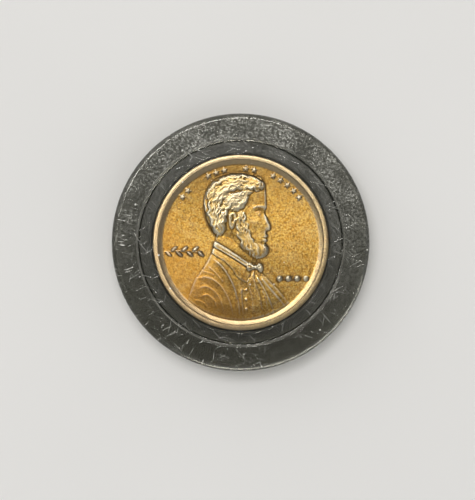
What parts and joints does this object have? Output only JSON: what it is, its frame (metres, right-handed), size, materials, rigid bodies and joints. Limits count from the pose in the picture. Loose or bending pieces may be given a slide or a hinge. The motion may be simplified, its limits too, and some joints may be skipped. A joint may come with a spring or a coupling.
{
  "type": "coin capsule",
  "caption": "Round two-piece clear push-fit capsule holding a small copper coin; the lid pulls straight off and the coin lifts out.",
  "frame": {"origin": "centre of the face the closed capsule lies on", "axes": "+Z along the capsule's axis, from the base shell to the lid; +Y is the top of the coin's design"},
  "size_m": [0.0278, 0.0278, 0.005],
  "materials": {
    "clear_plastic": "see-through moulded plastic with a faint smoke tint, glossy, with fine scuffs",
    "coin_bronze": "struck bronze with a red-gold lustre"
  },
  "bodies": {
    "base": {"base_shell": "clear_plastic"},
    "coin": {"coin": "coin_bronze"},
    "lid": {"lid_shell": "clear_plastic"}
  },
  "joints": [
    {"name": "coin_lift", "type": "slide", "parent": "base", "child": "coin", "axis": [0, 0, 1], "range_m": [0, 0.01]},
    {"name": "lid_lift", "type": "slide", "parent": "coin", "child": "lid", "axis": [0, 0, 1], "range_m": [0, 0.01]}
  ]
}
